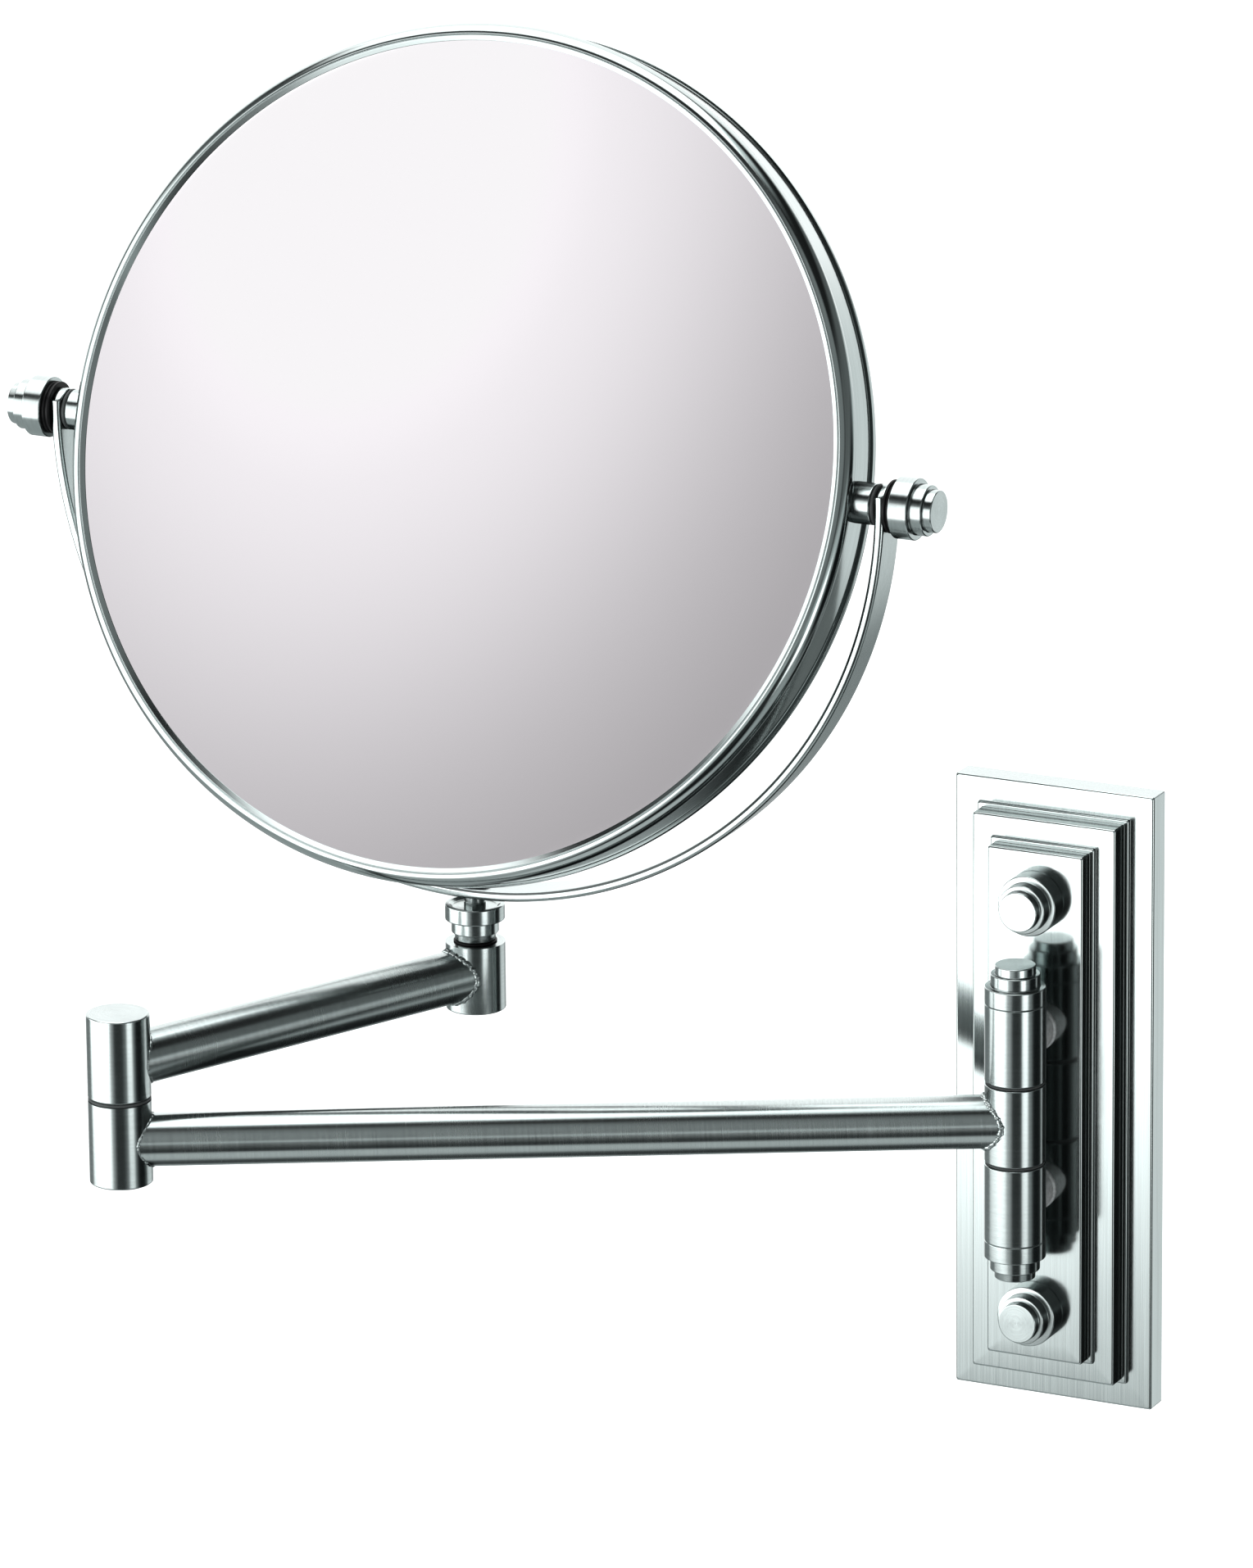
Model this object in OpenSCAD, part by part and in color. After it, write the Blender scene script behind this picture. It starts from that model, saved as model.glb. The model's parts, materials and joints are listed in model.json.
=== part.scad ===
// Extendable shaving mirror: a two-sided round mirror in a yoke, on a folding double
// arm that hinges on a stepped wall plate.
// Origin: centre of the wall plate's back face. +Z is up, the wall lies at y = 0,
// and everything stands out from it towards -Y.

/* [Wall plate] */
// Width of the lowest tier of the plate
plate_w = 50.8; // [46:0.2:60]
// Height of the lowest tier of the plate
plate_h = 152.4; // [140:0.2:180]
// Thickness of the lowest tier
plate_t1 = 6.5; // [6:0.1:7]
// Thickness of the middle tier
plate_t2 = 6.2; // [5.8:0.1:6.6]
// Thickness of the top tier
plate_t3 = 5.1; // [4.8:0.1:5.5]
// Width of the step from the lowest tier to the middle one
plate_step1 = 7.1; // [6:0.1:8]
// Width of the step from the middle tier to the top one
plate_step2 = 6.1; // [5:0.1:7]
// Width of the small bead at the foot of each upper tier
bead_w = 1.1; // [0.6:0.1:1.6]
// Height of that bead
bead_h = 1.1; // [0.6:0.1:1.6]
// Wall thickness of the plate, which is hollow behind
plate_wall = 1.8; // [1.4:0.1:2.2]
// Distance from the centre to each cap nut
nut_z = 51; // [49:0.5:54]

/* [Mounting strap] */
// Width of the strap behind the plate
strap_w = 18; // [16:1:24]
// Thickness of the strap
strap_t = 2; // [1.5:0.1:2.5]
// Distance from the centre to each wall screw hole
wall_hole_z = 36; // [34:0.5:40]
// Diameter of the wall screw holes
wall_hole_d = 4.8; // [4:0.1:5.4]

/* [Wall hinge] */
// Distance from the wall to the hinge axis
hinge_y = 29; // [28.5:0.1:32]
// Diameter of the hinge knuckles
hinge_d = 14.6; // [14:0.1:16]
// Height of each of the three knuckles
knuckle_h = 19; // [18:0.1:20]
// Thickness of the washers between them
hinge_washer_t = 0.8; // [0.6:0.1:1.2]
// Diameter of the two posts that carry the hinge on the plate
post_d = 11.4; // [9:0.1:13]
// Diameter of the hinge pin
hinge_pin_d = 6; // [5:0.5:7]

/* [Arms] */
// Length of the lower arm, from the wall hinge to the elbow
lower_arm_l = 210; // [208:1:240]
// Length of the upper arm, from the elbow to the swivel
upper_arm_l = 100; // [80:1:101]
// Diameter of the arm tubes
tube_d = 12.7; // [12:0.1:13]
// Wall thickness of the arm tubes
tube_wall = 1.2; // [1:0.1:1.6]
// Diameter of the elbow barrels
elbow_d = 15; // [14.6:0.1:16]
// Height of the lower elbow barrel
elbow_lower_h = 20.2; // [20:0.1:22]
// Height of the upper elbow barrel
elbow_upper_h = 20.2; // [20:0.1:22]
// Thickness of the washer between the elbow barrels
elbow_washer_t = 1; // [0.8:0.1:1.4]
// Diameter of the end barrel, under the mirror
end_d = 14.4; // [14:0.1:15]
// Height of the end barrel
end_h = 16.6; // [16:0.1:17]
// Height the upper tube gains from the elbow to its end
upper_rise = 3.6; // [2:0.1:4]
// Angle of the lower arm out from the wall, as stored
rest_lower = 28; // [28:1:90]
// Angle of the upper arm back towards the wall, as stored
rest_upper = 60; // [0:1:60]

/* [Yoke] */
// Outer radius of the yoke band
yoke_r = 109.4; // [109:0.1:112]
// Thickness of the band
yoke_t = 2.4; // [1.8:0.1:2.6]
// Width of the band
yoke_w = 10; // [9:0.1:12]
// Height of the band's centre above the tilt axis
yoke_up = 1.5; // [0:0.1:2]
// Free height of the swivel stem between collar and band
neck_h = 2.3; // [2:0.1:6]

/* [Mirror] */
// Outer radius of the rims
rim_r = 101.6; // [101.4:0.1:102]
// Radius of the glass that shows
glass_show_r = 97.3; // [96.8:0.1:97.5]
// Distance from the mid plane to each rim's crest
rim_z = 9; // [9:0.1:9.5]
// Thickness of each glass
glass_t = 3; // [2.5:0.1:3]
// Radius of curvature of the magnifying glass
magnifier_r = 1000; // [900:10:1600]
// Backward tilt of the mirror, as stored
rest_tilt = 18; // [0:1:18]

/* [Hidden] */
$fn = 96;
ring_fn = 240;                      // segments on the large rings

eps = 0.01;                         // overlap that keeps cuts clean
edge = 0.3;                         // small chamfer on turned edges
plate_edge = 0.5;                   // chamfer on the plate's front edges
press = 0.02;                       // radial clearance of a pressed or threaded part
running = 0.05;                     // radial clearance of a turning part

// wall plate
tier2_w = plate_w - 2 * plate_step1;
tier2_h = plate_h - 2 * plate_step1;
tier3_w = tier2_w - 2 * plate_step2;
tier3_h = tier2_h - 2 * plate_step2;
top2 = plate_t1 + plate_t2;
plate_depth = top2 + plate_t3;

// studs, cap nuts and finials; each tier is [radius, height] from the base outwards
stud_d = 5;
stud_flange = [3.6, 1.5];
stud_end = 7;                       // reach of the stud past the plate's face
nut_tiers = [[7.35, 5], [5.9, 3.1], [4.83, 2.1]];
finial_tiers = [[hinge_d / 2, 4.2], [5.9, 3.1], [4.83, 2.1]];
knob_tiers = [[7.3, 4.8], [6, 3.1], [5, 2.1]];

// wall hinge
knuckle_z = knuckle_h + hinge_washer_t;      // centre of the outer knuckles
hinge_top = 1.5 * knuckle_h + hinge_washer_t;
pin_reach = 6;                               // pin length inside each finial
post_z = knuckle_z;
post_screw_d = 4;
post_screw_head = [3.8, 2.4];
post_screw_tip = 3.6;                        // distance from hinge axis to screw tip
bush_wall = 1.5;
bush_h = 8;

// elbow, with z = 0 on the lower arm's axis
elbow_x = -lower_arm_l * cos(rest_lower);
elbow_y = -hinge_y - lower_arm_l * sin(rest_lower);
elbow_up_z = elbow_lower_h / 2 + elbow_washer_t;
upper_z = elbow_up_z + 7.9;                  // upper tube's axis at the elbow
elbow_pin_d = 7;
elbow_pin_up = 16;                           // pin length inside the upper barrel
elbow_recess = [5.2, 4.2];                   // radius and depth under the barrel
elbow_bush_wall = 1.2;
elbow_screw_head = [3.9, 2.2];
elbow_screw_d = 4;
elbow_screw_l = 9;
washer_t = 1;

// swivel at the end of the upper arm
swivel_x = elbow_x + upper_arm_l * cos(rest_upper);
swivel_y = elbow_y + upper_arm_l * sin(rest_upper);
end_top = upper_z + upper_rise + 7.7;
stem_d = 5.2;
end_recess = [4.9, 3.6];
end_bush_wall = 1.3;
stem_screw_head = [3.4, 1.8];
stem_screw_d = 3;
stem_screw_l = 7;
ring_t = 0.5;                                // soft ring under the collar
ring_r = 5.2;
collar_tiers = [[4.85, 1.9], [5.7, 3.2], [7.2, 3.85]];
collar_dish = [6.1, 0.7];                    // shallow dish in the collar's top
collar_h = collar_tiers[0][1] + collar_tiers[1][1] + collar_tiers[2][1];
collar_top = end_top + ring_t + collar_h;

// yoke and tilt axis
yoke_bottom = collar_top + neck_h;
tilt_z = yoke_bottom + yoke_r - yoke_up;
yoke_screw_head = [4.2, 1.4];
yoke_screw_d = 3;
yoke_screw_l = 8;

// mirror head; its own z axis is the front glass's outward normal
glass_z = rim_z - 0.8;
glass_r = glass_show_r + 1.3;
drum_r = rim_r - 0.6;
drum_wall = 1.2;
drum_half = 5;
skirt_half = 3;
skirt_r = drum_r - drum_wall - 0.05;
pad_t = 1.2;
core_t = 0.8;
core_z = glass_z - glass_t - pad_t - core_t;
soft_r = glass_r - 0.6;
magnifier_c = -glass_z - sqrt(pow(magnifier_r, 2) - pow(glass_r, 2));

// tilt pivots, measured out along the tilt axis from the mirror's centre
boss_r = 4.9;
boss_spigot = 2.9;
boss_in = glass_r;
pivot_gap = 0.1;
yoke_in = yoke_r - yoke_t;
inner_washer_out = yoke_in - 0.3;
boss_out = inner_washer_out - washer_t - pivot_gap;
outer_washer_in = yoke_r + 0.05;
outer_washer = [6.3, 1.9];
knob_in = outer_washer_in + outer_washer[1];
knob_stud_d = 4;
knob_stud_in = drum_r - 0.8;
knob_stud_reach = 6;

function stack_z(tiers, n) = n == 0 ? 0 : stack_z(tiers, n - 1) + tiers[n - 1][1];

// Outline of a stack of turned tiers, with a small chamfer on every edge
function stack_outline(tiers, c = edge) = concat(
    [[0, 0]],
    [for (i = [0 : len(tiers) - 1])
        let (z = stack_z(tiers, i), r = tiers[i][0], h = tiers[i][1])
        each [[r - c, z], [r, z + c], [r, z + h - c], [r - c, z + h]]],
    [[0, stack_z(tiers, len(tiers))]]);

module stack(tiers, c = edge)
    rotate_extrude() polygon(stack_outline(tiers, c));

module disc(r, h, c = edge) stack([[r, h]], c);

module washer(r, bore_r, h) {
    difference() {
        disc(r, h, h / 4);
        translate([0, 0, -eps]) cylinder(r = bore_r, h = h + 2 * eps);
    }
}

module sleeve(r, bore_r, h) {
    difference() {
        cylinder(r = r, h = h);
        translate([0, 0, -eps]) cylinder(r = bore_r, h = h + 2 * eps);
    }
}

// Pan head screw: head from z = 0 upwards, shank downwards
module pan_screw(head, shank_r, shank_l) {
    disc(head[0], head[1], head[1] / 4);
    translate([0, 0, -shank_l]) cylinder(r = shank_r, h = shank_l + eps);
}

// Children drawn with local +Z pointing out of the wall, local Y up
module out_of_wall(z = 0, depth = 0)
    translate([0, -depth, z]) rotate([90, 0, 0]) children();

module at_hinge(z = 0) translate([0, -hinge_y, z]) children();

module at_elbow(z = 0) translate([elbow_x, elbow_y, z]) children();

module at_swivel(z = 0) translate([swivel_x, swivel_y, z]) children();

module at_tilt() translate([swivel_x, swivel_y, tilt_z]) children();

// Children drawn with local +Z along the tilt axis, away from the mirror on each side
module along_tilt(side) at_tilt() rotate([0, side * 90, 0]) children();

// Children drawn with local +Z along the front glass's normal
module at_glass() at_tilt() rotate([90 - rest_tilt, 0, 0]) children();

// Rectangular block from z = 0, with chamfered front edges and corners
module chamfered_block(w, h, t, c) {
    intersection() {
        rotate([90, 0, 0]) linear_extrude(h, center = true) front_profile(w, t, c);
        rotate([90, 0, 90]) linear_extrude(w, center = true) front_profile(h, t, c);
        linear_extrude(t) polygon([
            [-w / 2 + c, -h / 2], [w / 2 - c, -h / 2], [w / 2, -h / 2 + c],
            [w / 2, h / 2 - c], [w / 2 - c, h / 2], [-w / 2 + c, h / 2],
            [-w / 2, h / 2 - c], [-w / 2, -h / 2 + c]]);
    }
}

module front_profile(w, t, c) polygon([
    [-w / 2, 0], [w / 2, 0], [w / 2, t - c], [w / 2 - c, t], [-w / 2 + c, t],
    [-w / 2, t - c]]);

module pocket(w, h, t)
    translate([0, 0, -eps]) linear_extrude(t + eps)
        square([w - 2 * plate_wall, h - 2 * plate_wall], center = true);

module wall_plate() {
    color("silver") out_of_wall() difference() {
        union() {
            chamfered_block(plate_w, plate_h, plate_t1, plate_edge);
            chamfered_block(tier2_w + 2 * bead_w, tier2_h + 2 * bead_w,
                            plate_t1 + bead_h, edge);
            chamfered_block(tier2_w, tier2_h, top2, plate_edge);
            chamfered_block(tier3_w + 2 * bead_w, tier3_h + 2 * bead_w,
                            top2 + bead_h, edge);
            chamfered_block(tier3_w, tier3_h, plate_depth, plate_edge);
        }
        pocket(plate_w, plate_h, plate_t1 - plate_wall);
        pocket(tier2_w, tier2_h, top2 - plate_wall);
        pocket(tier3_w, tier3_h, plate_depth - plate_wall);
        for (z = [-nut_z, nut_z])
            translate([0, z, 0]) cylinder(r = stud_d / 2 + 0.3, h = plate_depth + eps);
        for (z = [-post_z, post_z])
            translate([0, z, 0]) cylinder(r = post_screw_d / 2 + 0.2, h = plate_depth + eps);
    }
}

module mounting_strap() {
    color("darkgray") out_of_wall() linear_extrude(strap_t) difference() {
        union() {
            square([strap_w, 2 * nut_z], center = true);
            for (z = [-nut_z, nut_z]) translate([0, z]) circle(d = strap_w);
        }
        for (z = [-nut_z, nut_z]) translate([0, z]) circle(d = stud_d);
        for (z = [-wall_hole_z, wall_hole_z]) translate([0, z]) circle(d = wall_hole_d);
    }
}

module mounting_studs() {
    color("darkgray") for (z = [-nut_z, nut_z]) out_of_wall(z) {
        cylinder(r = stud_d / 2 - press, h = plate_depth + stud_end);
        translate([0, 0, strap_t]) cylinder(r = stud_flange[0], h = stud_flange[1]);
    }
}

module cap_nuts() {
    color("silver") for (z = [-nut_z, nut_z]) out_of_wall(z, plate_depth) difference() {
        stack(nut_tiers);
        translate([0, 0, -eps]) cylinder(r = stud_d / 2, h = stud_end + 0.5);
    }
}

// One fixed knuckle: bored for the pin, and drilled at the back for its post screw
module knuckle(z) {
    at_hinge(z) difference() {
        translate([0, 0, -knuckle_h / 2]) disc(hinge_d / 2, knuckle_h, edge);
        translate([0, 0, -knuckle_h]) cylinder(r = hinge_pin_d / 2 + press, h = 2 * knuckle_h);
        rotate([-90, 0, 0]) translate([0, 0, post_screw_tip - 0.2])
            cylinder(r = post_screw_d / 2 + press, h = hinge_d);
    }
}

module upper_knuckle() color("silver") knuckle(knuckle_z);

module lower_knuckle() color("silver") knuckle(-knuckle_z);

// Posts between plate and knuckles, coped to the knuckles' round backs
module standoff_posts() {
    color("silver") for (z = [-post_z, post_z]) difference() {
        out_of_wall(z, plate_depth) cylinder(d = post_d, h = hinge_y - plate_depth);
        at_hinge(z) cylinder(d = hinge_d, h = 2 * post_d, center = true);
        out_of_wall(z) cylinder(r = post_screw_d / 2 + press, h = hinge_y);
    }
}

module post_screws() {
    seat = plate_depth - plate_wall;
    color("darkgray") for (z = [-post_z, post_z])
        translate([0, -seat, z]) rotate([-90, 0, 0])
            pan_screw(post_screw_head, post_screw_d / 2,
                      hinge_y - post_screw_tip - seat);
}

module hinge_pin() {
    color("gray") at_hinge(-hinge_top - pin_reach)
        disc(hinge_pin_d / 2, 2 * (hinge_top + pin_reach), edge);
}

// Stepped cap that screws onto one end of the hinge pin
module finial() {
    difference() {
        stack(finial_tiers);
        translate([0, 0, -eps]) cylinder(r = hinge_pin_d / 2 + press, h = pin_reach + 0.5);
    }
}

module upper_finial() color("silver") at_hinge(hinge_top) finial();

module lower_finial() color("silver") at_hinge(-hinge_top) mirror([0, 0, 1]) finial();

module hinge_washers() {
    color("dimgray") for (z = [knuckle_h / 2, -knuckle_h / 2 - hinge_washer_t])
        at_hinge(z) washer(hinge_d / 2 - 0.3, hinge_pin_d / 2 + running, hinge_washer_t);
}

module wall_barrel() {
    color("silver") at_hinge(-knuckle_h / 2) difference() {
        disc(hinge_d / 2, knuckle_h, edge);
        translate([0, 0, -eps])
            cylinder(r = hinge_pin_d / 2 + bush_wall + press, h = knuckle_h + 2 * eps);
    }
}

module hinge_bushes() {
    color("goldenrod") for (z = [-knuckle_h / 2, knuckle_h / 2 - bush_h])
        at_hinge(z) sleeve(hinge_pin_d / 2 + bush_wall, hinge_pin_d / 2 + running, bush_h);
}

// A tube along local X between two upright barrels, coped to both, climbing by rise
module arm_tube(l, first_d, second_d, rise = 0) {
    lean = atan(rise / l);
    difference() {
        rotate([0, 90 - lean, 0]) cylinder(d = tube_d, h = l / cos(lean));
        rotate([0, 90 - lean, 0]) cylinder(d = tube_d - 2 * tube_wall, h = l / cos(lean));
        cylinder(d = first_d, h = 2 * tube_d, center = true);
        translate([l, 0, rise]) cylinder(d = second_d, h = 2 * tube_d, center = true);
    }
}

module lower_arm_tube() {
    color("silver") at_elbow() rotate([0, 0, rest_lower])
        arm_tube(lower_arm_l, elbow_d, hinge_d);
}

module elbow_lower_barrel() {
    color("silver") at_elbow(-elbow_lower_h / 2) difference() {
        disc(elbow_d / 2, elbow_lower_h, edge);
        translate([0, 0, -eps]) cylinder(r = elbow_recess[0], h = elbow_recess[1] + eps);
        cylinder(r = elbow_pin_d / 2 + elbow_bush_wall + press, h = elbow_lower_h + eps);
    }
}

module elbow_bush() {
    color("goldenrod") at_elbow(-elbow_lower_h / 2 + elbow_recess[1])
        sleeve(elbow_pin_d / 2 + elbow_bush_wall, elbow_pin_d / 2 + running,
               elbow_lower_h - elbow_recess[1]);
}

module elbow_washer() {
    color("dimgray") at_elbow(elbow_lower_h / 2)
        washer(elbow_d / 2 - 0.1, elbow_pin_d / 2 + running, elbow_washer_t);
}

module elbow_upper_barrel() {
    color("silver") at_elbow(elbow_up_z) difference() {
        disc(elbow_d / 2, elbow_upper_h, edge);
        translate([0, 0, -eps]) cylinder(r = elbow_pin_d / 2 + press, h = elbow_pin_up + 0.5);
    }
}

// Pressed into the upper barrel; a screw and washer under the lower barrel hold it down
module elbow_pin() {
    bottom = -elbow_lower_h / 2 + elbow_recess[1];
    color("gray") at_elbow(bottom) difference() {
        disc(elbow_pin_d / 2, elbow_up_z + elbow_pin_up - bottom, edge);
        translate([0, 0, -eps]) cylinder(r = elbow_screw_d / 2 + press, h = elbow_screw_l + 1);
    }
}

module elbow_screw_washer() {
    color("darkgray") at_elbow(-elbow_lower_h / 2 + elbow_recess[1] - washer_t)
        washer(elbow_recess[0] - 0.4, elbow_screw_d / 2 + press, washer_t);
}

module elbow_screw() {
    color("dimgray") at_elbow(-elbow_lower_h / 2 + elbow_recess[1] - washer_t)
        mirror([0, 0, 1]) pan_screw(elbow_screw_head, elbow_screw_d / 2,
                                    washer_t + elbow_screw_l);
}

module upper_arm_tube() {
    color("silver") at_elbow(upper_z) rotate([0, 0, rest_upper])
        arm_tube(upper_arm_l, elbow_d, end_d, upper_rise);
}

module end_barrel() {
    color("silver") at_swivel(end_top - end_h) difference() {
        disc(end_d / 2, end_h, edge);
        translate([0, 0, -eps]) cylinder(r = end_recess[0], h = end_recess[1] + eps);
        cylinder(r = stem_d / 2 + end_bush_wall + press, h = end_h + eps);
    }
}

module end_bush() {
    color("goldenrod") at_swivel(end_top - end_h + end_recess[1])
        sleeve(stem_d / 2 + end_bush_wall, stem_d / 2 + running, end_h - end_recess[1]);
}

module swivel_ring() {
    color("black") at_swivel(end_top) washer(ring_r, stem_d / 2 + running, ring_t);
}

module swivel_collar() {
    color("silver") at_swivel(end_top + ring_t) difference() {
        stack(collar_tiers);
        translate([0, 0, -eps]) cylinder(r = stem_d / 2 + press, h = collar_h + 2 * eps);
        translate([0, 0, collar_h - collar_dish[1]])
            cylinder(r1 = collar_dish[0] - collar_dish[1], r2 = collar_dish[0],
                     h = collar_dish[1] + eps);
    }
}

module swivel_stem() {
    bottom = end_top - end_h + end_recess[1];
    l = yoke_bottom - bottom;
    color("silver") at_swivel(bottom) difference() {
        cylinder(d = stem_d, h = l);
        translate([0, 0, -eps]) cylinder(r = stem_screw_d / 2 + press, h = stem_screw_l + 1);
        translate([0, 0, l - yoke_screw_l])
            cylinder(r = yoke_screw_d / 2 + press, h = yoke_screw_l + eps);
    }
}

module stem_washer() {
    color("darkgray") at_swivel(end_top - end_h + end_recess[1] - washer_t)
        washer(end_recess[0] - 0.4, stem_screw_d / 2 + press, washer_t);
}

module stem_screw() {
    color("dimgray") at_swivel(end_top - end_h + end_recess[1] - washer_t)
        mirror([0, 0, 1]) pan_screw(stem_screw_head, stem_screw_d / 2,
                                    washer_t + stem_screw_l);
}

// The band's full ring, standing on edge about the tilt axis's centre
module band_ring() {
    c = edge;
    translate([0, 0, yoke_up]) rotate([90, 0, 0]) rotate_extrude($fn = ring_fn) polygon([
        [yoke_in + c, -yoke_w / 2], [yoke_r - c, -yoke_w / 2], [yoke_r, -yoke_w / 2 + c],
        [yoke_r, yoke_w / 2 - c], [yoke_r - c, yoke_w / 2], [yoke_in + c, yoke_w / 2],
        [yoke_in, yoke_w / 2 - c], [yoke_in, -yoke_w / 2 + c]]);
}

module yoke_band() {
    span = 2 * yoke_r + yoke_w;
    color("silver") at_tilt() difference() {
        union() {
            intersection() {
                band_ring();
                translate([-span / 2, -yoke_w, -span]) cube([span, 2 * yoke_w, span]);
            }
            intersection() {
                band_ring();
                rotate([0, 90, 0]) cylinder(d = yoke_w, h = span, center = true);
            }
        }
        rotate([0, 90, 0]) cylinder(r = knob_stud_d / 2 + running, h = span, center = true);
        translate([0, 0, yoke_up - yoke_r - eps])
            cylinder(r = yoke_screw_d / 2 + press, h = 2 * yoke_t);
        translate([0, 0, yoke_up - yoke_in]) cylinder(r = yoke_screw_head[0] + 0.3, h = yoke_t);
    }
}

module yoke_screw() {
    color("dimgray") at_tilt() translate([0, 0, yoke_up - yoke_in])
        pan_screw(yoke_screw_head, yoke_screw_d / 2, yoke_t + yoke_screw_l - 1);
}

module inner_pivot_washers() {
    start = boss_out + pivot_gap;
    color("whitesmoke") for (side = [-1, 1]) along_tilt(side) translate([0, 0, start])
        washer(boss_r, knob_stud_d / 2 + running, inner_washer_out - start);
}

// Soft washers under the knobs, with a groove turned round each
module outer_pivot_washers() {
    r = outer_washer[0];
    h = outer_washer[1];
    groove = 0.4;
    color("black") for (side = [-1, 1]) along_tilt(side) translate([0, 0, outer_washer_in])
        rotate_extrude() polygon([
            [knob_stud_d / 2 + running, 0], [r - groove, 0], [r, groove],
            [r, h / 2 - groove], [r - groove, h / 2], [r, h / 2 + groove],
            [r, h - groove], [r - groove, h], [knob_stud_d / 2 + running, h]]);
}

module drum_band() {
    color("silver") difference() {
        at_glass() rotate_extrude($fn = ring_fn) polygon([
            [drum_r - drum_wall, -drum_half], [drum_r, -drum_half],
            [drum_r, drum_half], [drum_r - drum_wall, drum_half]]);
        for (side = [-1, 1]) along_tilt(side)
            cylinder(r = boss_spigot + press, h = rim_r);
    }
}

// Rounded rim: bevelled lip that holds the glass, a fine groove, then a quarter round
module rim() {
    crest = glass_show_r + 1.5;
    steps = 8;
    shoulder = drum_half + 0.6;
    rotate_extrude($fn = ring_fn) polygon(concat(
        [[glass_show_r, glass_z], [glass_show_r, glass_z + 0.1],
         [crest - 0.2, rim_z - 0.05], [crest - 0.05, rim_z - 0.4]],
        [for (i = [0 : steps]) let (a = 90 - 90 * i / steps)
            [crest + (rim_r - crest) * cos(a), shoulder + (rim_z - shoulder) * sin(a)]],
        [[rim_r, drum_half], [skirt_r, drum_half], [skirt_r, skirt_half],
         [glass_r + press, skirt_half], [glass_r + press, glass_z]]));
}

module front_rim() color("silver") at_glass() rim();

module rear_rim() color("silver") at_glass() mirror([0, 0, 1]) rim();

module front_glass() {
    color("lightgray") at_glass() translate([0, 0, glass_z - glass_t])
        cylinder(r = glass_r, h = glass_t, $fn = ring_fn);
}

// Concave glass of even thickness, facing back; its centre of curvature lies behind
module magnifying_glass() {
    color("lightgray") at_glass() intersection() {
        translate([0, 0, -glass_z]) cylinder(r = glass_r, h = 2 * glass_z, $fn = ring_fn);
        translate([0, 0, magnifier_c]) difference() {
            sphere(r = magnifier_r + glass_t, $fn = ring_fn);
            sphere(r = magnifier_r, $fn = ring_fn);
        }
    }
}

module backing_pad() {
    color("dimgray") at_glass() translate([0, 0, glass_z - glass_t - pad_t])
        cylinder(r = soft_r, h = pad_t, $fn = ring_fn);
}

module core_disc() {
    color("darkgray") at_glass() translate([0, 0, core_z])
        cylinder(r = soft_r, h = core_t, $fn = ring_fn);
}

// Foam between the core disc and the back of the magnifying glass
module foam_core() {
    color("beige") at_glass() difference() {
        translate([0, 0, -skirt_half]) cylinder(r = soft_r - 0.4, h = core_z + skirt_half,
                                                $fn = ring_fn);
        translate([0, 0, magnifier_c])
            sphere(r = magnifier_r + glass_t + 0.2, $fn = ring_fn);
    }
}

// Threaded bosses riveted through the drum band, coped to its round face
module pivot_bosses() {
    color("silver") for (side = [-1, 1]) difference() {
        union() {
            difference() {
                along_tilt(side) translate([0, 0, drum_r - drum_wall])
                    cylinder(r = boss_r, h = boss_out - drum_r + drum_wall);
                at_glass() cylinder(r = drum_r, h = 4 * boss_r, center = true, $fn = ring_fn);
            }
            along_tilt(side) translate([0, 0, boss_in])
                cylinder(r = boss_spigot, h = boss_out - boss_in);
        }
        along_tilt(side) translate([0, 0, knob_stud_in - 0.5])
            cylinder(r = knob_stud_d / 2 + press, h = boss_out);
    }
}

module knob(side) {
    along_tilt(side) translate([0, 0, knob_in]) difference() {
        stack(knob_tiers);
        translate([0, 0, -eps])
            cylinder(r = knob_stud_d / 2 + press, h = knob_stud_reach + 0.5);
    }
}

module knob_stud(side) {
    along_tilt(side) translate([0, 0, knob_stud_in])
        cylinder(d = knob_stud_d, h = knob_in + knob_stud_reach - knob_stud_in);
}

module left_knob() color("silver") knob(-1);

module left_knob_stud() color("gray") knob_stud(-1);

module right_knob() color("silver") knob(1);

module right_knob_stud() color("gray") knob_stud(1);

wall_plate();
mounting_strap();
mounting_studs();
cap_nuts();
upper_knuckle();
lower_knuckle();
standoff_posts();
post_screws();
hinge_pin();
upper_finial();
lower_finial();
hinge_washers();
wall_barrel();
hinge_bushes();
lower_arm_tube();
elbow_lower_barrel();
elbow_bush();
elbow_washer();
elbow_upper_barrel();
elbow_pin();
elbow_screw();
elbow_screw_washer();
upper_arm_tube();
end_barrel();
end_bush();
swivel_ring();
swivel_collar();
swivel_stem();
stem_screw();
stem_washer();
yoke_band();
yoke_screw();
inner_pivot_washers();
outer_pivot_washers();
drum_band();
front_rim();
rear_rim();
front_glass();
magnifying_glass();
backing_pad();
core_disc();
foam_core();
pivot_bosses();
left_knob();
left_knob_stud();
right_knob();
right_knob_stud();
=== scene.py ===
"""Looks of the extendable shaving mirror: brushed nickel parts, two silvered glasses, studio.

Places are in metres in the CAD's frame: the wall is y = 0, the mirror stands out to -Y.
The object's outlines and named sizes are in millimetres; camera and studio are in metres.
"""
import json
import math

import bmesh
import bpy
from mathutils import Matrix, Vector


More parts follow.
